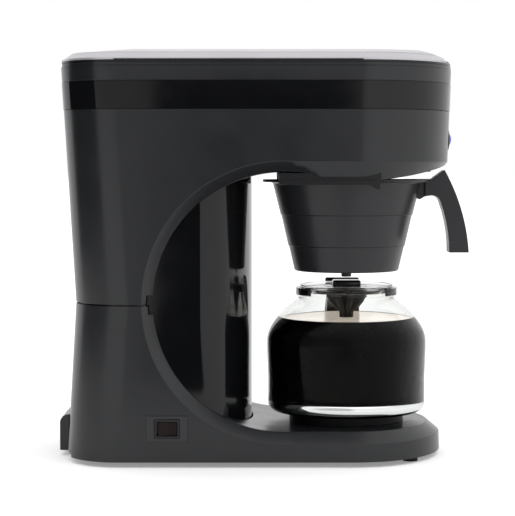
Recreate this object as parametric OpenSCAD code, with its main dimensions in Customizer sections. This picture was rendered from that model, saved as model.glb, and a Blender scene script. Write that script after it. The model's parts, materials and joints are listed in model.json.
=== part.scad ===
// Countertop drip coffee maker: a hot-tank brewer with a lidded reservoir, a slide-in
// brew funnel, a glass carafe on a warmer plate and a C-shaped side opening.
// +X is the front, +Z is up, and the machine stands on Z = 0. Sizes are in millimetres.

/* [Housing] */
// Half the width of the machine
half_w = 93; // [88:1:98]
// Height of the joint between the two housings
seam_z = 139.5; // [130:0.5:150]
// Height where the upper housing ends and the reservoir rim begins
head_top_z = 343.7; // [340:0.1:348]
// Rear of the upper housing at its top edge
head_rear_x = -176.9; // [-182:0.1:-174]
// Front of the upper housing at its top edge
head_front_x = 168.4; // [164:0.1:172]
// Rear of both housings at the joint between them
waist_rear_x = -164.8; // [-170:0.1:-162]
// Rear of the base at its lower edge
base_rear_x = -172.9; // [-178:0.1:-170]
// Front of the base
base_front_x = 159.4; // [155:0.1:164]
// Radius of the rear corners
rear_r = 50; // [40:1:60]
// Depth of the rounded front
front_depth = 84; // [78:1:93]
// Thickness of the housing walls
wall = 3; // [2:0.5:4]

/* [Side opening] */
// Radius of the round opening at its inner edge
cut_r = 111.8; // [108:0.1:114]
// Radius of the opening at its outer, bevelled edge
cut_outer_r = 121.5; // [118:0.5:124]
// Distance of the opening's centre in front of the origin
cut_x = 17.3; // [10:0.1:24]
// Height of the opening's centre
cut_z = 141.3; // [138:0.1:144]
// Width of the bevel around the opening
bevel_w = 11; // [8:0.5:13]

/* [Brew funnel] */
// Distance of the funnel, carafe and warmer centre in front of the origin
brew_x = 75.2; // [70:0.1:80]
// Outer radius of the funnel's rim
rim_r = 75.8; // [70:0.1:75.9]
// Outer radius of the funnel under its rim
funnel_top_r = 66.5; // [60:0.5:68]
// Outer radius of the funnel at its floor
funnel_low_r = 47; // [42:0.5:52]
// Height of the underside of the funnel's floor
funnel_low_z = 164.3; // [162:0.1:170]

/* [Carafe] */
// Largest outer radius of the glass
glass_r = 72; // [66:0.5:76]
// Radius of the collar around the glass neck
collar_r = 45.7; // [42:0.1:50]
// Thickness of the glass
glass_t = 2.2; // [1.5:0.1:3]

/* [Column and tank] */
// Half the width of the column
column_r = 81.2; // [76:0.1:81.4]
// Place where the column's flat sides end and its rounded front begins
column_x = -57; // [-95:0.5:-50]
// Outer radius of the hot-water tank
tank_r = 66; // [60:1:70]

/* [Hidden] */
$fn = 96;
hull_fn = 96;       // facets around the tapered housings
eps = 0.01;
mid_x = -1.4;       // the funnel's handle reaches further to +X than the cord hood to -X
mid_y = -13.75;     // the carafe handle reaches further to +Y than the machine to -Y

// Housing heights
skirt_z = 4.6;      // lower edge of the base
rim_z = 29.7;       // top surface of the base
base_edge_z = 20.3; // outer edge of the base's top bevel
head_low_z = 246.3; // lower edge of the head's lip
head_edge_z = 262.3;// outer edge of the head's bevel
lip_inset = 12;     // how far the head's lip is set in
over = 4;           // how far the front bevels run on past the walls
seam_gap = 1;       // shadow joint between the housings
cut_y = half_w - bevel_w;
band_low_z = 307;
band_high_z = 331;
ring_top_z = 346.6; // top of the reservoir's rim
lid_low_z = 346.9;
lid_edge_z = 349.5; // lower edge of the lid's bevel
lid_shoulder_z = 355.6;
lid_top_z = 360;
floor_z = 253.4;    // underside of the head's floor
floor_t = 3;
column_t = 2.5;
column_front = 46.7; // depth of the column's rounded front
column_rear_x = -111.5;

// Moving pieces
hinge_x = -174;
hinge_z = 347.8;
hinge_r = 2.6;
pin_r = 1.2;
pin_len = 74;
body_knuckle = 10;  // length of the reservoir's two barrels
body_knuckle_y = 17.3;
lid_knuckle_y = 30.2;
valve_x = -60;
stem_r = 3;
valve_seat_z = 280;
valve_low_z = 273;  // foot of the valve stem, below its seal
rocker_x = -82.7;
rocker_z = 33.8;
rocker_r = 1.4;
button_z = 282.5;
rail_x = 13;        // rear end of the funnel rails
rail_len = 87;
rail_y = 82.6;      // their outer faces
rail_low_z = 242.3;
button_r = 6.6;
carafe_z = 37.7;
hood_x = -182.1;    // rear of the cord hood
cord_x = -177.6;
cord_r = 3.4;
nozzle_low_z = 158.6;
rim_low_z = 244.2;
rim_high_z = 246.7;
tank_x = -91;
tank_low_z = 64;
tank_high_z = 212;
basin_floor_z = 285;

charcoal = [0.17, 0.17, 0.18];
gloss_black = [0.03, 0.03, 0.035];
silver = [0.72, 0.71, 0.74];
steel = [0.78, 0.78, 0.77];
rubber = [0.06, 0.06, 0.06];
copper = [0.72, 0.45, 0.25];
white = [0.9, 0.9, 0.88];
blue = [0.05, 0.25, 0.8];
clear = [0.85, 0.92, 0.95, 0.35];

// Outline of the upper housing at height z
function mix_at(z, z0, v0, z1, v1) = v0 + (v1 - v0) * (z - z0) / (z1 - z0);
function head_rear(z) = mix_at(z, seam_z, waist_rear_x, head_top_z, head_rear_x);
function head_front(z) = mix_at(z, head_edge_z, head_front_x - 2.8, head_top_z, head_front_x);
function base_rear(z) = mix_at(z, skirt_z, base_rear_x, seam_z, waist_rear_x);
function base_front(z) = mix_at(z, skirt_z, base_front_x, seam_z, base_front_x - 3);

module placed() { translate([mid_x, mid_y, 0]) children(); }

// Three thin discs that mark an outline: two rear corners and a rounded front
module outline_discs(rear, front, half, z, inset, fn = hull_fn) {
  for (s = [-1, 1])
    translate([rear + rear_r, s * (half - rear_r), z])
      cylinder(h = eps, r = rear_r - inset, $fn = fn);
  translate([front - front_depth, 0, z]) scale([(front_depth - inset) / (half - inset), 1, 1])
    cylinder(h = eps, r = half - inset, $fn = fn);
}

// Solid between two heights of the upper housing's outline
module head_block(z0, z1, in0, in1) {
  hull() {
    outline_discs(head_rear(z0), head_front(z0), half_w, z0, in0);
    outline_discs(head_rear(z1), head_front(z1), half_w, z1 - eps, in1);
  }
}

// Solid between two heights of the base's outline
module base_block(z0, z1, in0, in1) {
  hull() {
    outline_discs(base_rear(z0), base_front(z0), half_w, z0, in0);
    outline_discs(base_rear(z1), base_front(z1), half_w, z1 - eps, in1);
  }
}

// The same outline with straight walls, for flat plates
module plate(rear, front, half, r, z0, z1) {
  translate([0, 0, z0]) linear_extrude(z1 - z0) {
    for (s = [-1, 1]) translate([rear + r, s * (half - r)]) circle(r);
    translate([front - half, 0]) circle(half);
    translate([rear + r, -half]) square([front - half - rear - r, 2 * half]);
    translate([rear, -half + r]) square([front - half - rear, 2 * (half - r)]);
  }
}

// The rear part of that outline, cut off square in front
module rear_plan(rear, front, half, r) {
  for (s = [-1, 1]) translate([rear + r, s * (half - r)]) circle(r);
  translate([rear + r, -half]) square([front - rear - r, 2 * half]);
  translate([rear, -half + r]) square([front - rear, 2 * (half - r)]);
}

module rear_plate(rear, front, half, r, z0, z1) {
  translate([0, 0, z0]) linear_extrude(z1 - z0) rear_plan(rear, front, half, r);
}

// Round opening through both sides with its bevels, grown by g
module round_cut(g) {
  translate([cut_x, 0, cut_z]) rotate([90, 0, 0]) {
    cylinder(h = 2 * cut_y + 2, r = cut_r + g, center = true, $fn = 128);
    for (s = [0, 1]) mirror([0, 0, s]) translate([0, 0, cut_y])
      cylinder(h = bevel_w * 1.5, r1 = cut_r + g, r2 = cut_r + g + (cut_outer_r - cut_r) * 1.5,
               $fn = 128);
  }
}

// Everything in front of the opening's centre between two heights
module front_cut(z0, z1) {
  translate([cut_x, -120, z0]) cube([200, 240, z1 - z0]);
}

// The upper housing's outside shape, shrunk by g
module upper_form(g) {
  high_z = head_edge_z + over;
  slope = lip_inset / (head_edge_z - head_low_z);
  difference() {
    head_block(seam_z + seam_gap / 2, head_top_z, g, g);
    round_cut(g);
    difference() {
      front_cut(cut_z - 40, high_z - 0.2);
      head_block(head_low_z + g * 0.6, high_z, lip_inset + g, g + lip_inset
                 - slope * (high_z - head_low_z - g * 0.6));
    }
  }
}

// The base's outside shape, shrunk by g
module base_form(g) {
  low_z = base_edge_z - over;
  slope = bevel_w / (rim_z - base_edge_z);
  difference() {
    base_block(skirt_z, seam_z - seam_gap / 2, g, g);
    round_cut(g);
    difference() {
      front_cut(low_z + 0.2, cut_z + 40);
      base_block(low_z, rim_z - g, g + bevel_w - slope * (rim_z - g - low_z), bevel_w + g);
    }
  }
}

// The hollow of the base, stepped under its front edge
module base_cavity() {
  difference() {
    base_block(skirt_z, seam_z - seam_gap / 2, wall, wall);
    round_cut(wall);
    difference() {
      front_cut(base_edge_z - wall, cut_z + 40);
      base_block(skirt_z, rim_z - wall, bevel_w + wall, bevel_w + wall);
    }
  }
}

// Plan of the column, grown by g: flat sides and a rounded front
module column_plan(g) {
  front = [for (a = [-90:3:90])
    [column_x + (column_front + g) * cos(a), (column_r + g) * sin(a)]];
  rear = column_rear_x - g;
  polygon(concat(front, [[rear, column_r + g], [rear, -column_r - g]]));
}

module upper_housing() {
  color(charcoal) placed() difference() {
    upper_form(0);
    difference() {
      upper_form(wall);
      translate([-200, -120, head_top_z - 2]) cube([400, 240, 10]);
    }
    // open top for the reservoir and open bottom onto the base
    plate(head_rear(head_top_z) + wall - 0.2, head_front(head_top_z) - wall, half_w - wall + 0.2,
          rear_r - wall, head_top_z - 6, head_top_z + 2);
    rear_plate(head_rear(seam_z) + wall - 1, -121, half_w - wall + 0.8, rear_r - wall + 1,
               seam_z - 2, seam_z + 8);
    // groove for the band
    difference() {
      translate([-200, -120, band_low_z]) cube([400, 240, band_high_z - band_low_z]);
      head_block(band_low_z - 1, band_high_z + 1, 1, 1);
    }
    // space for the column and for the floor of the head
    translate([0, 0, seam_z - 1]) linear_extrude(floor_z - seam_z + 1) column_plan(1.1);
    translate([0, 0, 200]) linear_extrude(floor_z + floor_t - 200 + 0.4) head_floor_plan(0.4);
    // notches for the funnel rails
    for (m = [0, 1]) mirror([0, m, 0])
      translate([rail_x - 0.3, 69.7, 230]) cube([rail_len + 0.6, rail_y - 69.4, floor_z - 229.6]);
    // arch over the funnel's handle
    translate([brew_x + 20, 0, 11]) rotate([0, 90, 0]) cylinder(h = 110, r = 248, $fn = 240);
    // brew button
    translate([140, 0, button_z]) rotate([0, 90, 0]) cylinder(h = 60, r = 8);
    translate([head_front(button_z) - 1.2, 0, button_z]) rotate([0, 90, 0])
      cylinder(h = 20, r = 10);
  }
}

module base_shell() {
  color(charcoal) placed() {
    difference() {
      base_form(0);
      base_cavity();
      plate(base_rear(skirt_z) + wall + 0.5, base_front_x - wall - 0.5, half_w - wall - 0.5, rear_r - wall,
            skirt_z - 1, skirt_z + 3);
      // open top of the column's foot
      translate([0, 0, seam_z - 8]) linear_extrude(20)
        rear_plan(base_rear(seam_z) + wall, -121, half_w - wall, rear_r - wall);
      // column, warmer and rear wire passage
      translate([0, 0, rim_z - 10]) linear_extrude(seam_z) column_plan(1.1);
      translate([brew_x, 0, 0]) cylinder(h = 60, r = 46);
      // shorter skirt at the rear
      translate([-200, -120, 0]) cube([32, 240, 7.3]);
      // side switch
      translate([rocker_x, -half_w, rocker_z]) cube([32.4, 12, 19.4], center = true);
      // cord entry
      translate([-180, 0, 20]) rotate([0, 90, 0]) cylinder(h = 20, r = 7);
      // screw points of the cord hood
      for (s = [-1, 1])
        translate([-180, s * 19, 31]) rotate([0, 90, 0]) cylinder(h = 20, r = 1.6);
    }
    // tongue that lines up the upper housing
    difference() {
      union() {
        rear_plate(waist_rear_x + wall - 0.6, -124, half_w - wall + 0.6, rear_r - wall,
                   seam_z - 7, seam_z - 1.5);
        rear_plate(waist_rear_x + wall + 0.3, -124, half_w - wall - 0.3, rear_r - wall,
                   seam_z - 3, seam_z + 4);
      }
      rear_plate(waist_rear_x + wall + 2.3, 0, half_w - wall - 2.3, rear_r - wall,
                 seam_z - 8, seam_z + 5);
    }
  }
}

module column_cover() {
  color(gloss_black) placed() difference() {
    intersection() {
      translate([0, 0, rim_z - 10]) linear_extrude(floor_z - rim_z + 9.6) column_plan(0);
      translate([cut_x, 0, cut_z]) rotate([90, 0, 0])
        cylinder(h = 200, r = cut_r + 6, center = true, $fn = 128);
    }
    linear_extrude(300) column_plan(-column_t);
    translate([column_rear_x - 1, column_t - column_r, 0])
      cube([10, 2 * (column_r - column_t), 300]);
  }
}

module head_band() {
  color(gloss_black) placed() difference() {
    head_block(band_low_z + 0.1, band_high_z - 0.1, -0.5, -0.5);
    head_block(band_low_z - 1, band_high_z + 1, 1, 1);
  }
}

// Plan of the plate that closes the head from below, grown by g
module head_floor_plan(g) {
  intersection() {
    translate([brew_x - 2.7, 0]) circle(78.4 + g);
    translate([-20 - g, -100]) square([300, 200]);
  }
  translate([-20 - g, -78.4 - g]) square([brew_x + 20 + g - 2.7, 2 * (78.4 + g)]);
}

module head_floor() {
  color(gloss_black) placed() difference() {
    translate([0, 0, floor_z]) linear_extrude(floor_t) head_floor_plan(0);
    translate([brew_x, 0, floor_z - 1]) cylinder(h = 6, r = 31);
    translate([0, 0, floor_z - 1]) linear_extrude(2) column_plan(0.6);
  }
}

// Channel that carries one edge of the funnel; side is -1 or 1
module funnel_rail(side) {
  color(gloss_black) placed() mirror([0, side < 0 ? 1 : 0, 0]) difference() {
    union() {
      translate([rail_x, 70, rail_low_z]) cube([rail_len, rail_y - 70, floor_z - rail_low_z]);
      // flared mouth at the front
      translate([rail_x + rail_len - 8, 70, 0]) rotate([-90, 0, 0]) linear_extrude(rail_y - 70)
        polygon([[0, -floor_z], [8, -floor_z], [8, -238.6], [5.5, -238.6], [0, -rail_low_z]]);
    }
    // slot for the rim, with its lead-in
    translate([0, 60, rim_low_z - 0.3]) cube([200, 16.3, rim_high_z - rim_low_z + 0.7]);
    translate([rail_x - 1, 60, rim_high_z]) cube([200, 10, 10]);
    translate([rail_x + rail_len - 5, 0, 0]) rotate([-90, 0, 0]) linear_extrude(76.3)
      polygon([[0, -rim_low_z + 0.3], [5.1, -241.2], [5.1, -250.5], [0, -rim_high_z - 0.4]]);
    // pointed rear end
    translate([rail_x, 60, 248.6]) rotate([0, -45, 0]) translate([-20, 0, 0]) cube([20, 30, 30]);
    translate([rail_x, 60, 246.6]) rotate([0, 45, 0]) translate([-20, 0, -30]) cube([20, 30, 30]);
    // groove along the outside
    translate([rail_x - 1, rail_y - 1.4, 246.2]) cube([rail_len - 3, 2, 1.4]);
    // thinner top, so that the visible face ends below the floor
    translate([rail_x - 1, rail_y - 5, 252.4]) cube([rail_len - 7, 6, 3]);
  }
}

module rail_left() { funnel_rail(1); }
module rail_right() { funnel_rail(-1); }

module spray_head() {
  color(steel) placed() translate([brew_x, 0, 0]) difference() {
    union() {
      translate([0, 0, 250.2]) cylinder(h = 1.2, r = 34);
      translate([0, 0, 251.4]) cylinder(h = 5.6, r = 30.7);
      translate([0, 0, 257]) cylinder(h = 1.4, r = 9);
    }
    translate([0, 0, 251.4]) cylinder(h = 4.4, r = 28);
    cylinder(h = 300, r = 4.2);
    for (k = [0:5], ring = [11, 21])
      rotate(k * 60 + ring) translate([ring, 0, 240]) cylinder(h = 14, r = 1.1, $fn = 16);
  }
}

module spray_tube() {
  r = 4;
  bend = 9;
  up_z = 268;
  color(white) placed() difference() {
    union() {
      translate([tank_x + 30, 0, 219]) cylinder(h = up_z - bend - 219, r = r);
      translate([tank_x + 30 + bend, 0, up_z]) rotate([0, 90, 0])
        cylinder(h = brew_x - tank_x - 30 - 2 * bend, r = r);
      translate([brew_x, 0, 256.2]) cylinder(h = up_z - bend - 256.2, r = r);
      translate([tank_x + 30 + bend, 0, up_z - bend]) rotate([90, 0, 0]) quarter_ring(bend, r, 90);
      translate([brew_x - bend, 0, up_z - bend]) rotate([90, 0, 0]) quarter_ring(bend, r, 0);
    }
    translate([tank_x + 30, 0, 218]) cylinder(h = 20, r = 2.8);
    translate([brew_x, 0, 240]) cylinder(h = 18, r = 2.8);
  }
}

// A quarter of a ring in the plane of the first two axes, starting at angle a0
module quarter_ring(major, minor, a0) {
  rotate([0, 0, a0]) rotate_extrude(angle = 90) translate([major, 0]) circle(minor);
}

module reservoir_basin() {
  rear = head_rear(head_top_z);
  color(charcoal) placed() difference() {
    union() {
      difference() {
        union() {
          head_block(head_top_z + 0.2, ring_top_z, 0.4, 0.4);
          plate(rear + 8, 132, half_w - 9, rear_r - 8, basin_floor_z - 3, ring_top_z - 0.5);
        }
        plate(rear + 11, 129, half_w - 12, rear_r - 11, basin_floor_z, ring_top_z + 1);
        // clearance for the lid's own barrels
        hinge_bar(112, 3.7);
      }
      // seat of the valve and guide of its stem
      translate([valve_x, 0, valve_seat_z]) cylinder(h = basin_floor_z - valve_seat_z, r = 15);
      for (s = [-1, 1]) hinge_knuckle(s * body_knuckle_y, body_knuckle, 3.8);
    }
    // water passages around the stem
    translate([valve_x, 0, 270]) cylinder(h = 30, r = stem_r + 0.05);
    for (a = [0:60:300]) rotate_about(valve_x, a) translate([7, 0, 270]) cylinder(h = 30, r = 2);
    hinge_bar(110, pin_r);
  }
}

// Round bar along the lid hinge's axis
module hinge_bar(len, r) {
  translate([hinge_x, 0, hinge_z]) rotate([90, 0, 0]) cylinder(h = len, r = r, center = true);
}

module rotate_about(x, a) { translate([x, 0, 0]) rotate(a) children(); }

// One hinge barrel centred at y; down is how far its foot reaches below the axis
module hinge_knuckle(y, len, down) {
  translate([hinge_x, y, hinge_z]) rotate([90, 0, 0])
    cylinder(h = len, r = hinge_r, center = true, $fn = 48);
  translate([hinge_x - hinge_r + 0.2, y - len / 2, hinge_z - down])
    cube([2 * hinge_r, len, down]);
}

module lid_skin() {
  lip_tilt = 12;
  crown_in = 26;
  color(silver) placed() difference() {
    union() {
      difference() {
        union() {
          head_block(lid_edge_z, lid_shoulder_z, 0.9, 9.6);
          // flat crown, narrower than the outline at the rear and the sides
          hull() {
            outline_discs(head_rear(lid_shoulder_z), head_front(lid_shoulder_z), half_w,
                          lid_shoulder_z - 2 * eps, 9.6);
            outline_discs(head_rear(lid_top_z) + crown_in, head_front(lid_top_z), half_w - crown_in,
                          lid_top_z - eps, 14);
          }
        }
        // hollow underside
        head_block(lid_edge_z - 1, lid_shoulder_z - 2.4, 4, 14.5);
        // finger scoop under the front lip
        translate([137, -36, 359.8]) rotate([0, lip_tilt, 0]) translate([0, 0, -4.2])
          cube([40, 72, 12]);
      }
      // front lip
      intersection() {
        translate([134, 0, 360.3]) rotate([0, lip_tilt, 0]) translate([0, -40, -2.4])
          cube([60, 80, 2.2]);
        translate([118, 0, 340]) cylinder(h = 30, r = 45);
        translate([134, -34, 340]) cube([60, 68, 19.9]);
      }
      // cheeks that join the lip to the crown
      translate([133, -35.9, 354]) cube([4.2, 71.8, 5.6]);
    }
    // rear relief around the hinge
    translate([hinge_x, 0, hinge_z]) rotate([90, 0, 0]) cylinder(h = 78, r = 3.2, center = true);
  }
}

module lid_liner() {
  color(gloss_black) placed() difference() {
    union() {
      head_block(lid_low_z, lid_edge_z - 0.05, 0.9, 0.9);
      // rim that drops into the reservoir
      difference() {
        plate(head_rear(head_top_z) + 13, 127, half_w - 14, rear_r - 13, 340, lid_low_z + 1);
        plate(head_rear(head_top_z) + 15, 125, half_w - 16, rear_r - 15, 339, lid_low_z);
      }
      // pad that presses the valve stem
      translate([valve_x, 0, 341]) cylinder(h = 7, r = 9);
      for (s = [-1, 0, 1]) hinge_knuckle(s * lid_knuckle_y, s == 0 ? 24 : 15, 0.5);
    }
    // clearance for the reservoir's barrels and the pin
    for (s = [-1, 1]) translate([hinge_x - 6, s * body_knuckle_y - 5.3, hinge_z - 5])
      cube([9.6, 10.6, 10]);
    hinge_bar(110, pin_r + 0.05);
  }
}

module lid_hinge_pin() {
  color(steel) placed() translate([hinge_x, 0, hinge_z]) rotate([90, 0, 0])
    cylinder(h = pin_len, r = pin_r, center = true);
}

module valve_stem() {
  color(white) placed() translate([valve_x, 0, 0]) {
    translate([0, 0, valve_low_z]) cylinder(h = 340.7 - valve_low_z, r = stem_r);
    translate([0, 0, 308]) cylinder(h = 2, r = 7.5);
    translate([0, 0, valve_low_z]) cylinder(h = 1.5, r = 9);
  }
}

module valve_seal() {
  color(rubber) placed() translate([valve_x, 0, valve_low_z + 1.5]) difference() {
    cylinder(h = 2.2, r = 11);
    translate([0, 0, -1]) cylinder(h = 5, r = stem_r);
  }
}

// Points of one ring of spring wire at turn angle a
function wire_ring(a, major, minor, pitch, sides) = [
  for (k = [0:sides - 1]) let (b = 360 * k / sides, m = major + minor * cos(b))
    [m * cos(a), m * sin(a), pitch * a / 360 + minor * sin(b)]];

module coil(major, minor, pitch, turns, steps, sides) {
  count = turns * steps;
  points = [for (i = [0:count]) each wire_ring(360 * i / steps, major, minor, pitch, sides)];
  quads = [for (i = [0:count - 1], k = [0:sides - 1])
    let (n = (k + 1) % sides)
      [i * sides + k, i * sides + n, (i + 1) * sides + n, (i + 1) * sides + k]];
  first = [for (k = [sides - 1:-1:0]) k];
  last = [for (k = [0:sides - 1]) count * sides + k];
  polyhedron(points, concat([first, last], quads), convexity = 10);
}

module valve_spring() {
  color(steel) placed() translate([valve_x, 0, basin_floor_z + 0.9])
    coil(5.2, 0.7, 3.4, 6, 14, 6);
}

module fill_tube() {
  color(white) placed() translate([tank_x - 30, 0, 0]) difference() {
    union() {
      translate([0, 0, 80]) cylinder(h = 182, r = 6);
      translate([0, 0, 262]) cylinder(h = 2, r = 6);
      // funnel-shaped collector below the valve
      translate([34, 0, 262]) cylinder(h = 9, r1 = 10, r2 = 16);
      translate([0, -5, 262]) cube([34, 10, 4]);
    }
    translate([0, 0, 79]) cylinder(h = 186, r = 4.6);
    translate([34, 0, 264]) cylinder(h = 9, r1 = 8, r2 = 15);
    translate([0, -3.6, 263.4]) cube([34, 7.2, 4]);
  }
}

module tank() {
  color(steel) placed() translate([tank_x, 0, 0]) difference() {
    union() {
      translate([0, 0, tank_low_z]) cylinder(h = tank_high_z - tank_low_z, r = tank_r);
      translate([0, 0, tank_high_z - 1.5]) cylinder(h = 1.5, r = tank_r + 5);
    }
    translate([0, 0, tank_low_z + 1.2]) cylinder(h = 200, r = tank_r - 1.2);
    tank_screw_holes();
  }
}

module tank_screw_holes() {
  for (a = [0:60:300]) rotate(a + 30) translate([tank_r + 2.4, 0, 200]) cylinder(h = 30, r = 1.6);
}

module tank_gasket() {
  color(rubber) placed() translate([tank_x, 0, tank_high_z]) difference() {
    cylinder(h = 2, r = tank_r + 5);
    translate([0, 0, -1]) cylinder(h = 5, r = tank_r - 4);
    translate([0, 0, -tank_high_z]) tank_screw_holes();
  }
}

module tank_lid() {
  color(white) placed() translate([tank_x, 0, 0]) difference() {
    union() {
      translate([0, 0, tank_high_z + 2]) cylinder(h = 3, r = tank_r + 5);
      translate([0, 0, tank_high_z + 5]) cylinder(h = 3, r = 52);
      translate([30, 0, tank_high_z + 2]) cylinder(h = 16, r = 6.5);
      translate([-30, 0, tank_high_z + 2]) cylinder(h = 14, r = 9);
    }
    translate([30, 0, 200]) cylinder(h = 19, r = 2.8);
    translate([30, 0, 219]) cylinder(h = 20, r = 4);
    translate([-30, 0, 200]) cylinder(h = 40, r = 6.05);
    for (s = [-1, 1]) translate([0, s * 34, 200]) cylinder(h = 40, r = 4);
    tank_screw_holes();
  }
}

module tank_screws() {
  color(steel) placed() translate([tank_x, 0, 0]) for (a = [0:60:300]) rotate(a + 30)
    translate([tank_r + 2.4, 0, 0]) {
      translate([0, 0, tank_high_z - 5]) cylinder(h = 10, r = 1.5);
      translate([0, 0, tank_high_z + 5]) cylinder(h = 2, r = 2.5, $fn = 24);
    }
}

module tank_heater() {
  color(copper) placed() translate([tank_x, 0, 0]) {
    translate([0, 0, 76]) rotate_extrude() translate([34, 0]) circle(4);
    for (s = [-1, 1]) translate([0, s * 34, 76]) cylinder(h = 154, r = 3.9);
  }
}

module tank_cradle() {
  color(steel) placed() translate([tank_x, 0, 0]) difference() {
    union() {
      translate([0, 0, 9.7]) cylinder(h = 1.5, r = 58);
      for (a = [45:90:315]) rotate(a) translate([50, -8, 9.7]) cube([2, 16, tank_low_z - 9.8]);
      translate([0, 0, tank_low_z - 2]) cylinder(h = 1.8, r = 56);
    }
    translate([0, 0, 5]) cylinder(h = 70, r = 44);
  }
}

module thermostat() {
  color(steel) placed() translate([tank_x, 0, tank_high_z + 8]) {
    cylinder(h = 7, r = 9);
    translate([0, 0, 7]) cylinder(h = 4, r = 6);
  }
}

module thermal_fuse() {
  color(steel) placed() translate([tank_x, tank_r + 2.9, 120]) rotate([0, 90, 0])
    cylinder(h = 18, r = 2.6, center = true);
}

module terminal_block() {
  color(white) placed() difference() {
    translate([-168, 18, 9.8]) cube([14, 34, 12]);
    for (y = [24, 35, 46]) translate([-161, y, 14]) cylinder(h = 20, r = 2.2);
  }
}

module wiring() {
  run_z = 52.4;
  color(copper) placed() {
    translate([-161, 24, 15]) cylinder(h = run_z - 15, r = 1.4);
    translate([-161, 24, run_z]) sphere(1.4, $fn = 24);
    translate([-161, 24, run_z]) rotate([90, 0, 0]) cylinder(h = 78, r = 1.4);
    translate([-161, -54, run_z]) sphere(1.4, $fn = 24);
    translate([-161, -54, run_z]) rotate([0, 90, 0]) cylinder(h = 74, r = 1.4);
    translate([-87, -54, run_z]) sphere(1.4, $fn = 24);
    translate([-87, -54, run_z]) rotate([90, 0, 0]) cylinder(h = 10, r = 1.4);
    translate([-87, -64, run_z]) sphere(1.4, $fn = 24);
    translate([-87, -64, 38]) cylinder(h = run_z - 38, r = 1.4);
  }
}

module warmer_plate() {
  color(gloss_black) placed() translate([brew_x, 0, 0]) rotate_extrude() difference() {
    polygon([[0, rim_z + 0.1], [51.5, rim_z + 0.1], [51.5, 36.6], [50.6, 37.5],
             [48.6, 37.5], [47.6, 36.9], [0, 36.9]]);
    translate([0, rim_z]) square([49.5, 5.4]);
  }
}

module warmer_element() {
  color(steel) placed() translate([brew_x, 0, 31.9]) rotate_extrude() translate([30, 0]) circle(2.8);
}

module warmer_pan() {
  color(steel) placed() translate([brew_x, 0, 0]) difference() {
    translate([0, 0, 24]) cylinder(h = 4.9, r = 45.5);
    translate([0, 0, 25]) cylinder(h = 10, r = 44.3);
    cylinder(h = 60, r = 6);
  }
}

module base_pan() {
  color(charcoal) placed() difference() {
    plate(base_rear(skirt_z) + 4.5, base_front_x - 3.6, half_w - 3.6, rear_r - 4, 7.5, 9.6);
    for (p = foot_spots) translate([p[0], p[1], 0]) cylinder(h = 20, r = 3);
    for (p = screw_spots) translate([p[0], p[1], 0]) cylinder(h = 20, r = 2.1);
    // ventilation slots
    for (x = [0:12:48]) translate([x - 22, -30, 5]) cube([4, 60, 10]);
  }
}

foot_spots = [[129, -54], [129, 54], [-140, -54], [-140, 54]];
screw_spots = [[100, -72], [100, 72], [-20, -80], [-20, 80], [-120, -78], [-120, 78]];

module feet() {
  color(rubber) placed() for (p = foot_spots) translate([p[0], p[1], 0]) {
    cylinder(h = 7.4, r = 6.5);
    translate([0, 0, 7.4]) cylinder(h = 4, r = 2.9);
  }
}

module base_screws() {
  color(steel) placed() for (p = screw_spots) translate([p[0], p[1], 0]) {
    translate([0, 0, 5.6]) cylinder(h = 1.8, r = 3.4, $fn = 32);
    translate([0, 0, 7.4]) cylinder(h = 9, r = 1.8, $fn = 32);
  }
}

module cord_hood() {
  front_x = -173.1;
  top_z = 37;
  round_r = 8;
  color(charcoal) placed() difference() {
    rotate([90, 0, 0]) linear_extrude(56, center = true) {
      translate([hood_x, skirt_z]) square([front_x - hood_x, top_z - round_r - skirt_z]);
      intersection() {
        translate([hood_x + round_r, top_z - round_r]) circle(round_r);
        translate([hood_x, top_z - round_r - eps]) square([front_x - hood_x, round_r + 1]);
      }
    }
    // hollow that leads the cord to the base
    translate([hood_x + 2, -22, 12]) cube([20, 44, 14]);
    // cord inlet, open to one side
    translate([cord_x, 10, 19]) rotate([-90, 0, 0]) cylinder(h = 30, r = cord_r);
    for (s = [-1, 1])
      translate([-190, s * 19, 31]) rotate([0, 90, 0]) cylinder(h = 30, r = 1.6);
  }
}

module hood_screws() {
  color(steel) placed() for (s = [-1, 1])
    translate([-181.3, s * 19, 31]) rotate([0, 90, 0]) cylinder(h = 14, r = 1.5, $fn = 32);
}

module switch_plate() {
  color([0.36, 0.36, 0.38]) placed() translate([rocker_x, -half_w, rocker_z]) difference() {
    union() {
      translate([0, -0.65, 0]) cube([35, 1.1, 22], center = true);
      translate([0, 1.9, 0]) cube([32, 4.2, 19], center = true);
    }
    cube([21.6, 20, 16.2], center = true);
  }
}

module switch_body() {
  color(gloss_black) placed() translate([rocker_x, -half_w, rocker_z]) difference() {
    union() {
      translate([-10.7, -1.6, -8]) cube([21.4, 10, 16]);
      translate([-9.4, 8.4, -6.6]) cube([18.8, 12, 13.2]);
      for (x = [-5, 5]) translate([x - 0.4, 20.4, -2.4]) cube([0.8, 7, 4.8]);
    }
    translate([-8.9, -3, -6.2]) cube([17.8, 10.2, 12.4]);
    translate([0, 3, -8.5]) cylinder(h = 17, r = rocker_r);
  }
}

module rocker() {
  tilt = 8;
  color([0.25, 0.06, 0.05]) placed() translate([rocker_x, -half_w + 3, rocker_z]) {
    rotate([0, 0, tilt]) difference() {
      translate([-8.2, -4.4, -5.8]) cube([16.4, 5.4, 11.6]);
      translate([0, -22.4, -7]) cylinder(h = 14, r = 18.6);
    }
    translate([0, 0, -8]) cylinder(h = 16, r = rocker_r - 0.05);
  }
}

module button_bezel() {
  x = head_front(button_z);
  color(gloss_black) placed() translate([0, 0, button_z]) rotate([0, 90, 0]) difference() {
    union() {
      translate([0, 0, x - 1.1]) cylinder(h = 1.7, r = 9.6);
      translate([0, 0, x - 12]) cylinder(h = 11, r = 7.8);
    }
    translate([0, 0, x - 14]) cylinder(h = 30, r = button_r + 0.06);
  }
}

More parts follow.
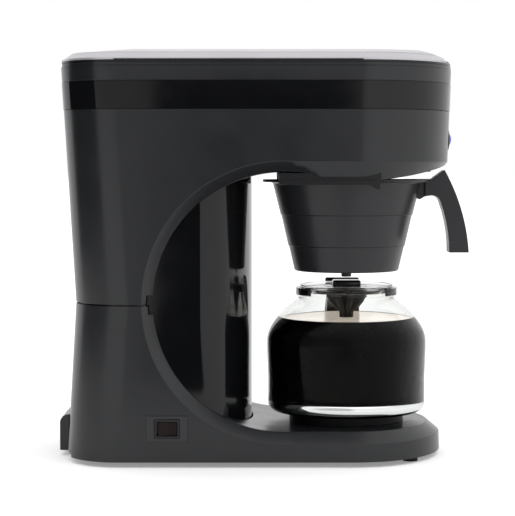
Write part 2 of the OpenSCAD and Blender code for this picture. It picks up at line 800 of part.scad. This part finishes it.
module button_cap() {
  x = head_front(button_z);
  dome = 2.6;
  dome_r = (button_r * button_r + dome * dome) / (2 * dome);
  color(blue) placed() translate([0, 0, button_z]) rotate([0, 90, 0]) {
    translate([0, 0, x - 8]) cylinder(h = 8.6, r = button_r);
    intersection() {
      translate([0, 0, x + 0.6 + dome - dome_r]) sphere(dome_r);
      translate([0, 0, x + 0.6]) cylinder(h = 10, r = button_r);
    }
    translate([0, 0, x - 14]) cylinder(h = 7, r = 2.5);
  }
}

module button_switch() {
  x = head_front(button_z);
  color(white) placed() translate([0, 0, button_z]) rotate([0, 90, 0]) difference() {
    union() {
      translate([-14, -12, x - 20]) cube([28, 24, 1.6]);
      translate([-6, -6, x - 18.4]) cube([12, 12, 1.8]);
      for (s = [-1, 1]) translate([s * 11, 0, x - 20]) cylinder(h = 14, r = 2.2);
    }
  }
}

module brew_funnel() {
  t = 2;
  slope = (funnel_top_r - funnel_low_r) / (243 - funnel_low_z);
  color([0.2, 0.2, 0.21]) placed() translate([brew_x, 0, 0]) difference() {
    union() {
      rotate_extrude() union() {
        polygon([[0, funnel_low_z], [funnel_low_r - 1, funnel_low_z],
                 [funnel_low_r, funnel_low_z + 1],
                 [funnel_low_r + slope * 22.7 - 0.6, 187], [funnel_low_r + slope * 22.7, 187],
                 [funnel_low_r + slope * 50.7 - 0.6, 215], [funnel_low_r + slope * 50.7, 215],
                 [funnel_top_r, 243], [funnel_top_r + 2, rim_low_z], [rim_r, rim_low_z],
                 [rim_r, rim_high_z], [0, rim_high_z]]);
        translate([0, nozzle_low_z]) square([4.5, 6]);
      }
      // straight edges that run in the rails
      translate([-38, -rim_r + 0.1, rim_low_z]) cube([76, 2 * rim_r - 0.2, rim_high_z - rim_low_z]);
      funnel_handle();
    }
    rotate_extrude() polygon([
      [0, funnel_low_z + 3], [4, funnel_low_z + 3], [funnel_low_r - t - 3, funnel_low_z + 5],
      [funnel_low_r - t, funnel_low_z + 8], [funnel_top_r - t, 243],
      [funnel_top_r - t + 1, rim_high_z + 1], [0, rim_high_z + 1]]);
    translate([0, 0, 150]) cylinder(h = 30, r = 2.6);
  }
}

// The funnel's handle, measured from the funnel's axis: a curved grip under a peak
module funnel_handle() {
  grip_w = 22;
  rotate([90, 0, 0]) linear_extrude(grip_w, center = true) difference() {
    intersection() {
      translate([-62.8, 169.9]) circle(172.8, $fn = 240);
      polygon([[70, 245], [76.4, 247], [87.6, 255.2], [120, 255.2], [120, 180.8], [70, 180.8]]);
    }
    // finger space behind the grip, under a bridge
    polygon(concat(
      [[60, 232], [60, 150]],
      [for (a = [-12 : 4 : 20]) [-39.7 + 131.6 * cos(a), 181.4 + 131.6 * sin(a)]],
      [for (a = [30 : 15 : 90]) [77 + 7 * cos(a), 225 + 7 * sin(a)]]
    ));
  }
  // web of the bridge down to the cone
  rotate([90, 0, 0]) linear_extrude(12, center = true)
    polygon([[62, 243.5], [76, 245], [80, 236], [78, 232.5], [70, 231], [65.5, 228.4], [63, 230]]);
}

module carafe_glass() {
  outer = glass_r;
  color(clear) placed() translate([brew_x, 0, carafe_z]) rotate_extrude($fn = 128) difference() {
    glass_profile(0);
    glass_profile(glass_t);
  }
}

// Half section of the carafe: heel, barrel, shoulder and neck, shrunk by g
module glass_profile(g) {
  heel = 60;
  barrel_z = 62;
  neck_r = 42.6;
  neck_z = 104.5;
  top_z = 112.5;
  shoulder = 20;
  bottom = g > 0 ? 7 : 0;
  top = g > 0 ? top_z + 1 : top_z;
  difference() {
    union() {
      translate([0, bottom]) square([heel + (g > 0 ? 6 : 0) - g, 20]);
      translate([0, bottom + 9]) square([glass_r - 1 - g, 50 - bottom]);
      translate([heel + 3 - (g > 0 ? g : 0), bottom + 8.2]) circle(8.2, $fn = 48);
      polygon([[0, 30], [glass_r - 1 - g, 30], [glass_r - g, barrel_z], [glass_r - g, barrel_z + 4],
               [glass_r - 2.8 - g, 74], [glass_r - 9.6 - g, 84.6], [glass_r - 19.6 - g, 94.6],
               [neck_r + 4 - g, 99.6], [neck_r + 1 - g, 102.8], [neck_r - g, neck_z],
               [neck_r - g, top], [0, top]]);
    }
  }
}

module carafe_band() {
  color(steel) placed() translate([brew_x, 0, 0]) difference() {
    union() {
      translate([0, 0, 142.5]) cylinder(h = 6.7, r = collar_r);
      translate([-8, 40, 142.5]) cube([16, 10, 6.7]);
    }
    translate([0, 0, 140]) cylinder(h = 20, r = 42.65);
    translate([0, -20, 144.6]) rotate([90, 0, 0]) linear_extrude(60)
      polygon([[-26.5, 1], [26.5, 1], [29.5, 8], [-29.5, 8]]);
    translate([0, 60, 145.9]) rotate([90, 0, 0]) cylinder(h = 30, r = 1.6);
  }
}

module carafe_handle() {
  grip_w = 32;
  color(gloss_black) placed() translate([brew_x, 0, 0]) difference() {
    union() {
      rotate([90, 0, 90]) linear_extrude(grip_w, center = true) {
        // arm from the collar and the pad that follows the glass shoulder
        polygon([[46.4, 141.8], [50.4, 136.6], [53.6, 133.4], [63.6, 123.2], [70.6, 112.4],
                 [75.4, 112.4], [76.4, 122], [73, 133], [70.5, 139.6], [88, 140.8],
                 [84, 150.4], [46.4, 150.4]]);
        // grip
        difference() {
          translate([62, 94]) circle(61, $fn = 128);
          translate([56, 92]) circle(54.6, $fn = 128);
          translate([-60, 0]) square([136, 240]);
          translate([0, 20]) square([200, 34]);
        }
      }
    }
    translate([0, 0, 100]) cylinder(h = 60, r = 46.1);
    translate([-8.3, 40, 140]) cube([16.6, 10.3, 9.6]);
    translate([0, 40, 145.9]) rotate([-90, 0, 0]) cylinder(h = 16, r = 1.6);
  }
}

module band_screw() {
  color(steel) placed() translate([brew_x, 0, 145.9]) rotate([-90, 0, 0])
    translate([0, 0, 43]) cylinder(h = 12, r = 1.5, $fn = 32);
}

module carafe_lid() {
  color(gloss_black) placed() translate([brew_x, 0, 0]) difference() {
    union() {
      rotate_extrude() polygon([
        [0, 147.6], [8, 133], [4.6, 127], [4.6, 114], [6.6, 114], [6.6, 126], [11.5, 133.4],
        [17, 143.4], [39.9, 143.4], [39.9, 150.6], [42.2, 150.6], [42.2, 152.2], [13, 152.2], [0, 152.2]]);
      translate([-12.6, -10, 150]) cube([25.2, 20, 5.7]);
    }
    translate([0, 0, 110]) cylinder(h = 60, r = 4.6);
    translate([0, 0, 146]) cylinder(h = 12, r1 = 4.6, r2 = 9);
    // spout notch
    translate([-12, -60, 144.5]) cube([24, 22, 10]);
  }
}

upper_housing();
base_shell();
column_cover();
head_band();
head_floor();
rail_left();
rail_right();
spray_head();
spray_tube();
reservoir_basin();
lid_skin();
lid_liner();
lid_hinge_pin();
valve_stem();
valve_seal();
valve_spring();
fill_tube();
tank();
tank_lid();
tank_gasket();
tank_screws();
tank_heater();
tank_cradle();
thermostat();
thermal_fuse();
terminal_block();
wiring();
warmer_plate();
warmer_element();
warmer_pan();
base_pan();
feet();
base_screws();
cord_hood();
hood_screws();
switch_plate();
switch_body();
rocker();
button_bezel();
button_cap();
button_switch();
brew_funnel();
carafe_glass();
carafe_band();
carafe_handle();
band_screw();
carafe_lid();
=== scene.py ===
"""Drip coffee maker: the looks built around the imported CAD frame. Metres, +X front, +Z up."""
import json
import math

import bmesh
import bpy
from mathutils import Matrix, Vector


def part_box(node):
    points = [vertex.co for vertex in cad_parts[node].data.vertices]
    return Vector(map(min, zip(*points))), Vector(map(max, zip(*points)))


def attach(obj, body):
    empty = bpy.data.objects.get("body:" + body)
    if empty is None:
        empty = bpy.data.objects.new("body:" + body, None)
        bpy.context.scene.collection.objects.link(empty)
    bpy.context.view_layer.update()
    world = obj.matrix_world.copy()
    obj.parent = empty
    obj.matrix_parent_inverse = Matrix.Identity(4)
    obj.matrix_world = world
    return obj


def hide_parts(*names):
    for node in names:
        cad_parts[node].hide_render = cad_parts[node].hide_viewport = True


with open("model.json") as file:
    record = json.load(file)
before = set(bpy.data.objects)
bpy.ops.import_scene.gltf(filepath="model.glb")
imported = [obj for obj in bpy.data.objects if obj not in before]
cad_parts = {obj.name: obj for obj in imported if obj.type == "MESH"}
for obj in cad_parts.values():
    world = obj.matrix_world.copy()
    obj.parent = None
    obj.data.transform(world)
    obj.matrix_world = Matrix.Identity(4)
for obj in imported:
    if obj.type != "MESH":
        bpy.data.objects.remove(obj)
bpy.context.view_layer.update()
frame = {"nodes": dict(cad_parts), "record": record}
scene = bpy.context.scene
scene.view_settings.view_transform = "Standard"
nodes = frame["nodes"]

glass_lo, glass_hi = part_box("carafe_glass")
brew = Vector(((glass_lo.x + glass_hi.x) / 2, (glass_lo.y + glass_hi.y) / 2, glass_lo.z))
mid_y = brew.y


# ---------------------------------------------------------------- materials
class Shader:
    """A Principled material with grain, smudges and a slow drift of colour."""

    def __init__(self, name, base, rough, metallic=0.0, ior=1.45, transmission=0.0):
        self.mat = bpy.data.materials.new(name)
        self.mat.use_nodes = True
        self.tree = self.mat.node_tree
        self.bsdf = self.tree.nodes["Principled BSDF"]
        self.base = base
        self.coord = self.node("ShaderNodeTexCoord").outputs["Object"]
        self.set("Base Color", (*base, 1))
        self.set("Roughness", rough)
        self.set("Metallic", metallic)
        self.set("IOR", ior)
        self.set("Transmission Weight", transmission)
        self.rough = rough
        self.height = None

    def node(self, kind, **props):
        n = self.tree.nodes.new(kind)
        for k, v in props.items():
            setattr(n, k, v)
        return n

    def set(self, socket, value):
        self.bsdf.inputs[socket].default_value = value
        return self

    def noise(self, size, detail=3.0, stretch=None):
        """Noise whose cells are about size metres across."""
        n = self.node("ShaderNodeTexNoise")
        n.inputs["Scale"].default_value = 1.0 / size
        n.inputs["Detail"].default_value = detail
        source = self.coord
        if stretch:
            m = self.node("ShaderNodeMapping")
            m.inputs["Scale"].default_value = stretch
            self.tree.links.new(source, m.inputs["Vector"])
            source = m.outputs["Vector"]
        self.tree.links.new(source, n.inputs["Vector"])
        return n.outputs["Fac"]

    def ranged(self, source, low, high, to_low, to_high):
        m = self.node("ShaderNodeMapRange")
        for k, v in (("From Min", low), ("From Max", high), ("To Min", to_low), ("To Max", to_high)):
            m.inputs[k].default_value = v
        self.tree.links.new(source, m.inputs["Value"])
        return m.outputs["Result"]

    def drift(self, share, size=0.05, detail=4.0):
        """Base colour that wanders by share over patches of that size."""
        ramp = self.node("ShaderNodeValToRGB")
        low = tuple(c * (1 - share) for c in self.base)
        high = tuple(min(1, c * (1 + share)) for c in self.base)
        ramp.color_ramp.elements[0].position = 0.3
        ramp.color_ramp.elements[1].position = 0.7
        ramp.color_ramp.elements[0].color = (*low, 1)
        ramp.color_ramp.elements[1].color = (*high, 1)
        self.tree.links.new(self.noise(size, detail), ramp.inputs["Fac"])
        self.tree.links.new(ramp.outputs["Color"], self.bsdf.inputs["Base Color"])
        return self

    def smudge(self, spread, size=0.03, stretch=None):
        """Roughness that wanders by spread, as handled plastic does."""
        out = self.ranged(self.noise(size, 5.0, stretch), 0.3, 0.7,
                          max(0.0, self.rough - spread), self.rough + spread)
        self.tree.links.new(out, self.bsdf.inputs["Roughness"])
        return self

    def grain(self, size, strength, detail=2.0, distance=0.00005, stretch=None):
        """Fine moulded texture."""
        bump = self.node("ShaderNodeBump")
        bump.inputs["Strength"].default_value = strength
        bump.inputs["Distance"].default_value = distance
        self.tree.links.new(self.noise(size, detail, stretch), bump.inputs["Height"])
        if self.height is not None:
            self.tree.links.new(self.height, bump.inputs["Normal"])
        self.height = bump.outputs["Normal"]
        self.tree.links.new(self.height, self.bsdf.inputs["Normal"])
        return self


charcoal = Shader("charcoal_plastic", (0.0112, 0.012, 0.0138), 0.24, ior=1.5).drift(0.08).smudge(0.03)
charcoal.grain(0.0011, 0.1, distance=0.00002)
gloss_black = Shader("gloss_black_plastic", (0.0042, 0.0045, 0.0052), 0.08, ior=1.42)
gloss_black.drift(0.1).smudge(0.02, 0.02).grain(0.02, 0.04, distance=0.0001)
dark = Shader("dark_plastic", (0.0075, 0.008, 0.0095), 0.26).drift(0.1).smudge(0.04)
dark.grain(0.0008, 0.14, distance=0.00003)
funnel_mat = Shader("funnel_plastic", (0.018, 0.0185, 0.021), 0.33).drift(0.08).smudge(0.04)
funnel_mat.grain(0.0006, 0.18, distance=0.00003)
silver = Shader("silver_lid", (0.56, 0.545, 0.57), 0.34, metallic=0.6).drift(0.03).smudge(0.05)
silver.grain(0.0005, 0.12, distance=0.00002)
steel = Shader("stainless", (0.55, 0.54, 0.52), 0.26, metallic=1.0, ior=2.5).drift(0.05)
steel.smudge(0.08, 0.004, (1, 1, 12)).grain(0.0004, 0.2, distance=0.00002, stretch=(1, 1, 14))
white = Shader("white_plastic", (0.66, 0.65, 0.61), 0.38).drift(0.04).smudge(0.05)
white.grain(0.0007, 0.15, distance=0.00003)
rubber = Shader("black_rubber", (0.012, 0.012, 0.012), 0.72).drift(0.2, 0.008).smudge(0.08)
rubber.grain(0.0005, 0.45, 5.0)
copper = Shader("copper_wire", (0.62, 0.25, 0.11), 0.34, metallic=1.0).drift(0.15, 0.01)
copper.smudge(0.08, 0.005).grain(0.0005, 0.2)
enamel = Shader("enamel_black", (0.004, 0.004, 0.0045), 0.5, ior=1.3).drift(0.2, 0.01)
enamel.smudge(0.06, 0.012).grain(0.0016, 0.22, 4.0)
grey = Shader("grey_plastic", (0.026, 0.027, 0.03), 0.3).drift(0.06).smudge(0.04)
grey.grain(0.0007, 0.15, distance=0.00003)
red = Shader("rocker_red", (0.010, 0.0045, 0.0045), 0.45, ior=1.28).drift(0.2, 0.006)
red.smudge(0.05, 0.006).grain(0.004, 0.05)
blue = Shader("button_blue", (0.012, 0.09, 0.62), 0.16, ior=1.49).drift(0.12, 0.004)
blue.smudge(0.05, 0.004).grain(0.003, 0.05)
glass = Shader("clear_glass", (0.97, 0.985, 0.98), 0.0, ior=1.47, transmission=1.0)
glass.grain(0.03, 0.05, 1.0, distance=0.0001)
glass.set("Specular Tint", (0.1, 0.1, 0.1, 1))
mirror = Shader("glass_heel", (0.86, 0.87, 0.87), 0.04, metallic=1.0).drift(0.03).smudge(0.02)
clear = Shader("clear_plastic", (0.9, 0.91, 0.92), 0.02, ior=1.4, transmission=1.0)
clear.set("Specular Tint", (0.4, 0.4, 0.4, 1))
clear.grain(0.01, 0.05, 1.0, distance=0.0001)
film_with_painted_glow = Shader("coffee_film", (0.72, 0.58, 0.43), 0.12, ior=1.4).drift(0.16, 0.02)
film_with_painted_glow.grain(0.003, 0.1)
# painted light: the pale film glows warm to make up for the light that barely reaches it through the glass
film_with_painted_glow.set("Emission Color", (1.0, 0.88, 0.76, 1)).set("Emission Strength", 0.36)
coffee_mat = Shader("brewed_coffee", (0.0021, 0.0017, 0.0015), 0.06, ior=1.34)
coffee_mat.drift(0.25, 0.02).grain(0.02, 0.03, distance=0.0001)
coffee_mat.set("Specular IOR Level", 0.1)

BY_SLOT = {
    "charcoal_plastic": charcoal, "gloss_black_plastic": gloss_black, "dark_plastic": dark,
    "silver_lid": silver, "stainless": steel, "white_plastic": white, "black_rubber": rubber,
    "clear_glass": glass, "copper_wire": copper, "enamel_black": enamel, "grey_plastic": grey,
    "funnel_plastic": funnel_mat, "rocker_red": red, "button_blue": blue,
}


def dress(obj, shader):
    """One material on the whole of obj."""
    obj.data.materials.clear()
    obj.data.materials.append(shader.mat)
    for p in obj.data.polygons:
        p.material_index = 0


# ------------------------------------------------------------ the CAD nodes
def soften(obj, edge=0.0, segments=2, sharp=32.0):
    """Smooth shading, with the hard edges rounded by edge metres."""
    mesh = obj.data
    if "custom_normal" in mesh.attributes:
        mesh.attributes.remove(mesh.attributes["custom_normal"])
    mesh.polygons.foreach_set("use_smooth", [True] * len(mesh.polygons))
    weld = obj.modifiers.new("weld", "WELD")
    weld.merge_threshold = 0.000004
    flat = obj.modifiers.new("flats", "DECIMATE")
    flat.decimate_type = "DISSOLVE"
    flat.angle_limit = math.radians(0.3)
    if edge:
        bevel = obj.modifiers.new("edges", "BEVEL")
        bevel.width = edge
        bevel.segments = segments
        bevel.limit_method = "ANGLE"
        bevel.angle_limit = math.radians(sharp)
        bevel.use_clamp_overlap = False
        bevel.miter_outer = "MITER_ARC"
    split = obj.modifiers.new("creases", "EDGE_SPLIT")
    split.split_angle = math.radians(sharp)
    even = obj.modifiers.new("normals", "WEIGHTED_NORMAL")
    even.weight = 100
    even.keep_sharp = True


slot_of = {p["node"]: p["material_slot"] for p in frame["record"]["subparts"]}
ROUNDED = {
    "upper_housing": 0.0006, "base_shell": 0.0006, "lid_skin": 0.0008, "brew_funnel": 0.0006,
    "cord_hood": 0.001, "carafe_handle": 0.0014, "switch_plate": 0.0005, "rocker": 0.0005,
    "rail_left": 0.0004, "rail_right": 0.0004, "button_bezel": 0.0003,
}
for name, obj in nodes.items():
    dress(obj, BY_SLOT[slot_of[name]])
    soften(obj, ROUNDED.get(name, 0.0))
dress(nodes["carafe_band"], glass)


# ------------------------------------------------------- what the CAD omits
def revolve(name, profile, centre, steps=96, closed=False, ribs=0, rib=0.0):
    """A surface turned about the vertical through centre. profile is [(radius, z)]; ribs ripple it."""
    bm = bmesh.new()
    rings = []
    wave = [1 + rib * abs(math.cos(math.pi * ribs * i / steps)) - rib for i in range(steps)]
    for r, z in profile:
        if r < 1e-6:
            rings.append([bm.verts.new((centre.x, centre.y, centre.z + z))])
            continue
        rings.append([bm.verts.new((centre.x + r * wave[i] * math.cos(2 * math.pi * i / steps),
                                    centre.y + r * wave[i] * math.sin(2 * math.pi * i / steps),
                                    centre.z + z)) for i in range(steps)])
    if closed:
        rings.append(rings[0])
    for low, high in zip(rings, rings[1:]):
        for i in range(steps):
            j = (i + 1) % steps
            corners = [low[i % len(low)], low[j % len(low)], high[j % len(high)], high[i % len(high)]]
            unique = list(dict.fromkeys(corners))
            bm.faces.new(unique)
    bmesh.ops.recalc_face_normals(bm, faces=bm.faces)
    mesh = bpy.data.meshes.new(name)
    bm.to_mesh(mesh)
    bm.free()
    mesh.polygons.foreach_set("use_smooth", [True] * len(mesh.polygons))
    obj = bpy.data.objects.new(name, mesh)
    scene.collection.objects.link(obj)
    return obj


def smooth(points, steps=6):
    """A Catmull-Rom curve through (r, z) points."""
    ends = [points[0]] + points + [points[-1]]
    out = []
    for a, b, c, d in zip(ends, ends[1:], ends[2:], ends[3:]):
        for k in range(steps):
            t = k / steps
            out.append(tuple(0.5 * (2 * q + (r - p) * t + (2 * p - 5 * q + 4 * r - s) * t * t
                                    + (3 * q - p - 3 * r + s) * t ** 3)
                             for p, q, r, s in zip(a, b, c, d)))
    return out + [points[-1]]


def arc(r, z, radius, start, end, steps=10):
    """Points on an arc about (r, z), angles in degrees."""
    return [(r + radius * math.cos(math.radians(start + (end - start) * i / steps)),
             z + radius * math.sin(math.radians(start + (end - start) * i / steps)))
            for i in range(steps + 1)]


# the carafe glass: its outline is (radius, height) above the foot
glass_r = (glass_hi.x - glass_lo.x) / 2
glass_top = glass_hi.z - glass_lo.z
barrel_r = glass_r - 0.001
neck_r = 0.0426
wall = 0.0022
shoulder = [
    (barrel_r, 0.03), (glass_r - 0.0004, 0.046), (glass_r, 0.06), (glass_r - 0.0006, 0.068),
    (glass_r - 0.0034, 0.0755), (glass_r - 0.0093, 0.0842), (glass_r - 0.0175, 0.0925),
    (glass_r - 0.0248, 0.0985), (neck_r + 0.0008, 0.1028), (neck_r, 0.1055),
]
shoulder_z = 0.066
outside = smooth(shoulder)
inside = [(r - wall, z - wall * 0.35 * min(1, max(0, z - shoulder_z) / 0.02)) for r, z in outside]
heel_round = 0.0082
heel = [(min(r, barrel_r), z) for r, z in arc(0.063, heel_round, heel_round, -90, 0)]
floor_z = 0.0132
floor_round = 0.004
bowl = arc(barrel_r - wall - floor_round, floor_z + floor_round, floor_round, -90, 0)
lip = glass_top - 0.0003
shell = [(0, 0.0012), (0.04, 0.0012), (0.052, 0.0004), (0.057, 0)] + heel + outside
shell += [(neck_r, lip - 0.001), (neck_r - 0.0005, lip), (neck_r - 0.0015, lip), (neck_r - wall, lip - 0.001)]
shell += list(reversed(inside)) + list(reversed(bowl)) + [(0.03, floor_z), (0, floor_z)]
carafe_body = revolve("carafe_body", shell, brew, 160)
dress(carafe_body, glass)
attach(carafe_body, "carafe")
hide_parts("carafe_glass")

# the inner face of the thick heel, which shows as a mirror by total reflection
heel_r = barrel_r - 0.0012
gleam = revolve("carafe_heel", [
    (heel_r - 0.0006, floor_z - 0.0004), (heel_r, floor_z - 0.0008), (heel_r, 0.0062),
    (heel_r - 0.0004, 0.0048), (heel_r - 0.0012, 0.0034),
], brew, 160)
dress(gleam, mirror)
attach(gleam, "carafe")

# coffee that wets the glass, with a meniscus, and a pale film on top of it whose glow is painted light
fill_z = 0.0846
wet = 0.00035
wetted = [(r + wet, z) for r, z in inside if z < fill_z]
top_r = wetted[-1][0]
brewed = [(0, floor_z - 0.0002), (0.03, floor_z - 0.0002)]
brewed += [(r + wet * 0.7, z - wet * 0.7) for r, z in bowl] + wetted
brewed += [(top_r - 0.0006, fill_z - 0.0004), (top_r - 0.0018, fill_z - 0.0011),
           (top_r - 0.004, fill_z - 0.0015), (0.03, fill_z - 0.0016), (0, fill_z - 0.0016)]
coffee = revolve("coffee", brewed, brew, 128)
dress(coffee, coffee_mat)
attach(coffee, "carafe")
film = revolve("coffee_film", [
    (0, fill_z - 0.0014), (top_r - 0.0036, fill_z - 0.0013), (top_r - 0.0016, fill_z - 0.0009),
    (top_r - 0.0014, fill_z - 0.0007), (top_r - 0.004, fill_z - 0.0010), (0, fill_z - 0.0011),
], brew, 128)
dress(film, film_with_painted_glow)
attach(film, "carafe")

# carafe lid: a clear disc that carries a black hub with a ribbed drip cone
lid_lo, lid_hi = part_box("carafe_lid")
disc_r = (lid_hi.x - lid_lo.x) / 2
foot = lid_lo.z - brew.z
crown = lid_hi.z - brew.z
disc_z = crown - 0.0051
hub_z = disc_z - 0.0012
disc = revolve("carafe_lid_disc", [
    (0.012, disc_z), (disc_r - 0.0028, disc_z), (disc_r - 0.0028, disc_z - 0.006),
    (disc_r - 0.0042, disc_z - 0.006), (disc_r - 0.0042, disc_z - 0.001), (0.012, disc_z - 0.001),
], brew, 128, closed=True)
rim = revolve("carafe_lid_rim", [
    (disc_r - 0.003, disc_z + 0.0004), (disc_r - 0.0004, disc_z + 0.0004), (disc_r, disc_z + 0.001),
    (disc_r - 0.0004, disc_z + 0.0016), (disc_r - 0.003, disc_z + 0.0016),
], brew, 128, closed=True)
cone = revolve("carafe_lid_cone", [
    (0.0046, foot + 0.0002), (0.0064, foot + 0.0002), (0.0066, foot + 0.012), (0.0125, foot + 0.0175),
    (0.0196, foot + 0.0262), (0.0196, foot + 0.0284), (0.0166, hub_z), (0.006, hub_z),
    (0.0046, foot + 0.014),
], brew, 180, closed=True, ribs=9, rib=0.3)


def block(bm, centre, size, edge, segments):
    """A rounded bar in bm, its centre measured from the carafe's foot."""
    made = bmesh.ops.create_cube(bm, size=1)["verts"]
    for v in made:
        v.co = brew + Vector(centre) + Vector(c * s for c, s in zip(v.co, size))
    edges = list({e for v in made for e in v.link_edges})
    bmesh.ops.bevel(bm, geom=edges, offset=edge, segments=segments, profile=0.6, affect="EDGES")


def mesh_piece(name, bm):
    """An object made of bm, shaded smooth."""
    mesh = bpy.data.meshes.new(name)
    bm.to_mesh(mesh)
    bm.free()
    mesh.polygons.foreach_set("use_smooth", [True] * len(mesh.polygons))
    obj = bpy.data.objects.new(name, mesh)
    scene.collection.objects.link(obj)
    return obj


# spokes from the hub to the skirt of the lid
spoke_mid = 0.0265
spoke_len = 0.024
spoke_w = 0.0052
spoke_t = 0.0018
spoke_z = disc_z - 0.0036
bm = bmesh.new()
for way in (-1, 1):
    block(bm, (way * spoke_mid, 0, spoke_z), (spoke_len, spoke_w, spoke_t), 0.0005, 3)
    block(bm, (0, way * spoke_mid, spoke_z), (spoke_w, spoke_len, spoke_t), 0.0005, 3)
spokes = mesh_piece("carafe_lid_spokes", bm)

# painted shade: dark bands on the two ends of the collar, left and right to the camera, standing in for the
# darkening of the clear collar's limbs seen edge-on
collar_shade_outline = [(0.0432, 0.1052), (0.0452, 0.1052), (0.0457, 0.1062),
                (0.0457, 0.1102), (0.0452, 0.1112), (0.0432, 0.1112)]
shade_half_angle = 42
shade_steps = 24
bm = bmesh.new()
for side in (0, 180):
    rings = []
    for i in range(shade_steps + 1):
        a = math.radians(side - shade_half_angle + 2 * shade_half_angle * i / shade_steps)
        rings.append([bm.verts.new(brew + Vector((r * math.cos(a), r * math.sin(a), z)))
                      for r, z in collar_shade_outline])
    for low, high in zip(rings, rings[1:]):
        for j, k in zip(range(6), (1, 2, 3, 4, 5, 0)):
            bm.faces.new([low[j], high[j], high[k], low[k]])
    bm.faces.new(rings[0])
    bm.faces.new(list(reversed(rings[-1])))
bmesh.ops.recalc_face_normals(bm, faces=bm.faces)
collar_limb_shade = mesh_piece("carafe_collar_end_shade", bm)
dress(collar_limb_shade, dark)
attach(collar_limb_shade, "carafe")

# hub on top of the lid
hub_high = 0.0063
bm = bmesh.new()
block(bm, (0, 0, hub_z + hub_high / 2), (0.0252, 0.02, hub_high), 0.0022, 4)
hub = mesh_piece("carafe_lid_hub", bm)
for piece, shader, slot in (
        (disc, clear, "clear_glass"), (rim, clear, "clear_glass"), (cone, gloss_black, "dark_plastic"),
        (hub, gloss_black, "dark_plastic"), (spokes, gloss_black, "dark_plastic")):
    dress(piece, shader)
    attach(piece, "carafe_lid")
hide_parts("carafe_lid")
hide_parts("carafe_lid")

# ------------------------------------------------------------------- studio
# the paper glows a little to the camera only, so the shadow on it stays faint
floor_mat = Shader("studio_paper", (0.93, 0.93, 0.93), 0.9).drift(0.004, 0.3)
floor_mat.grain(0.002, 0.05)
seen_glow = 0.26
to_camera = floor_mat.node("ShaderNodeLightPath").outputs["Is Camera Ray"]
floor_mat.set("Emission Color", (1, 1, 1, 1))
floor_mat.tree.links.new(floor_mat.ranged(to_camera, 0, 1, 0, seen_glow),
                         floor_mat.bsdf.inputs["Emission Strength"])
gap_mat = Shader("studio_dark", (0.0, 0.0, 0.0), 1.0, ior=1.0)


def sheet(name, corners, shader):
    """Flat quads of the studio, four corners each."""
    mesh = bpy.data.meshes.new(name)
    mesh.from_pydata(corners, [], [tuple(range(i, i + 4)) for i in range(0, len(corners), 4)])
    obj = bpy.data.objects.new(name, mesh)
    scene.collection.objects.link(obj)
    dress(obj, shader)
    return obj


far = 60.0
sheet("studio_floor", [(-far, -far, 0), (far, -far, 0), (far, far, 0), (-far, far, 0)], floor_mat)

# dark cards round the camera and at the left, seen in the gloss only
eye_back = 1.529
eye = Vector((brew.x - 0.0805, mid_y - eye_back, 0.255))
back_y = eye.y - 0.03
near_y = mid_y - 0.55
gap_x0 = eye.x - 0.179
gap_x1 = eye.x + 0.176
gap_top = 0.432
skim = 0.001
front = sheet("studio_gap_front", [
    (gap_x0, back_y, skim), (gap_x1, back_y, skim), (gap_x1, back_y, gap_top), (gap_x0, back_y, gap_top),
    (gap_x0, back_y, skim), (gap_x1, back_y, skim), (gap_x1, near_y, skim), (gap_x0, near_y, skim),
], gap_mat)
side = sheet("studio_gap_side", [
    (-1.5, -1.4, 0.0), (-1.5, 0.55, 0.0), (-1.5, 0.55, 1.4), (-1.5, -1.4, 1.4)], gap_mat)
for card in (front, side):
    card.visible_camera = False
    card.visible_diffuse = False
    card.visible_transmission = False
    card.visible_shadow = False

# white surround, dimmer at the front left except to the camera
world = bpy.data.worlds.new("tent")
scene.world = world
world.use_nodes = True
wt = world.node_tree
sky = wt.nodes["Background"]


def wnode(kind, **values):
    """A node of the world with some inputs set."""
    n = wt.nodes.new(kind)
    for k, v in values.items():
        n.inputs[k].default_value = v
    return n


split = wnode("ShaderNodeSeparateXYZ")
wt.links.new(wnode("ShaderNodeTexCoord").outputs["Generated"], split.inputs[0])
ahead = wnode("ShaderNodeMapRange", **{"From Min": -0.5, "From Max": -0.75, "To Min": 0.0, "To Max": 0.42})
wt.links.new(split.outputs["Y"], ahead.inputs["Value"])
left = wnode("ShaderNodeMapRange", **{"From Min": 0.03, "From Max": 0.2, "To Min": 1.0, "To Max": 0.0})
wt.links.new(split.outputs["X"], left.inputs["Value"])
dim = wnode("ShaderNodeMath")
dim.operation = "MULTIPLY"
wt.links.new(ahead.outputs[0], dim.inputs[0])
wt.links.new(left.outputs[0], dim.inputs[1])
lit = wnode("ShaderNodeMath")
lit.operation = "SUBTRACT"
lit.inputs[0].default_value = 1.02
wt.links.new(dim.outputs[0], lit.inputs[1])
pick = wnode("ShaderNodeMix")
pick.data_type = "FLOAT"
wt.links.new(wnode("ShaderNodeLightPath").outputs["Is Camera Ray"], pick.inputs[0])
wt.links.new(lit.outputs[0], pick.inputs[2])
pick.inputs[3].default_value = 1.0
wt.links.new(pick.outputs[0], sky.inputs["Strength"])
sky.inputs["Color"].default_value = (1, 1, 1, 1)

lamp_data = bpy.data.lights.new("softbox", "SUN")
lamp_data.energy = 0.55
lamp_data.angle = math.radians(70)
lamp = bpy.data.objects.new("softbox", lamp_data)
lamp.rotation_euler = (math.radians(12), math.radians(10), 0)
lamp.visible_glossy = False
scene.collection.objects.link(lamp)

look_down = 2.98
camera = bpy.data.cameras.new("camera")
camera.sensor_width = 36
camera.lens = 117.9
camera_obj = bpy.data.objects.new("camera", camera)
camera_obj.location = eye
camera_obj.rotation_euler = (math.radians(90 - look_down), 0, 0)
scene.collection.objects.link(camera_obj)
scene.camera = camera_obj
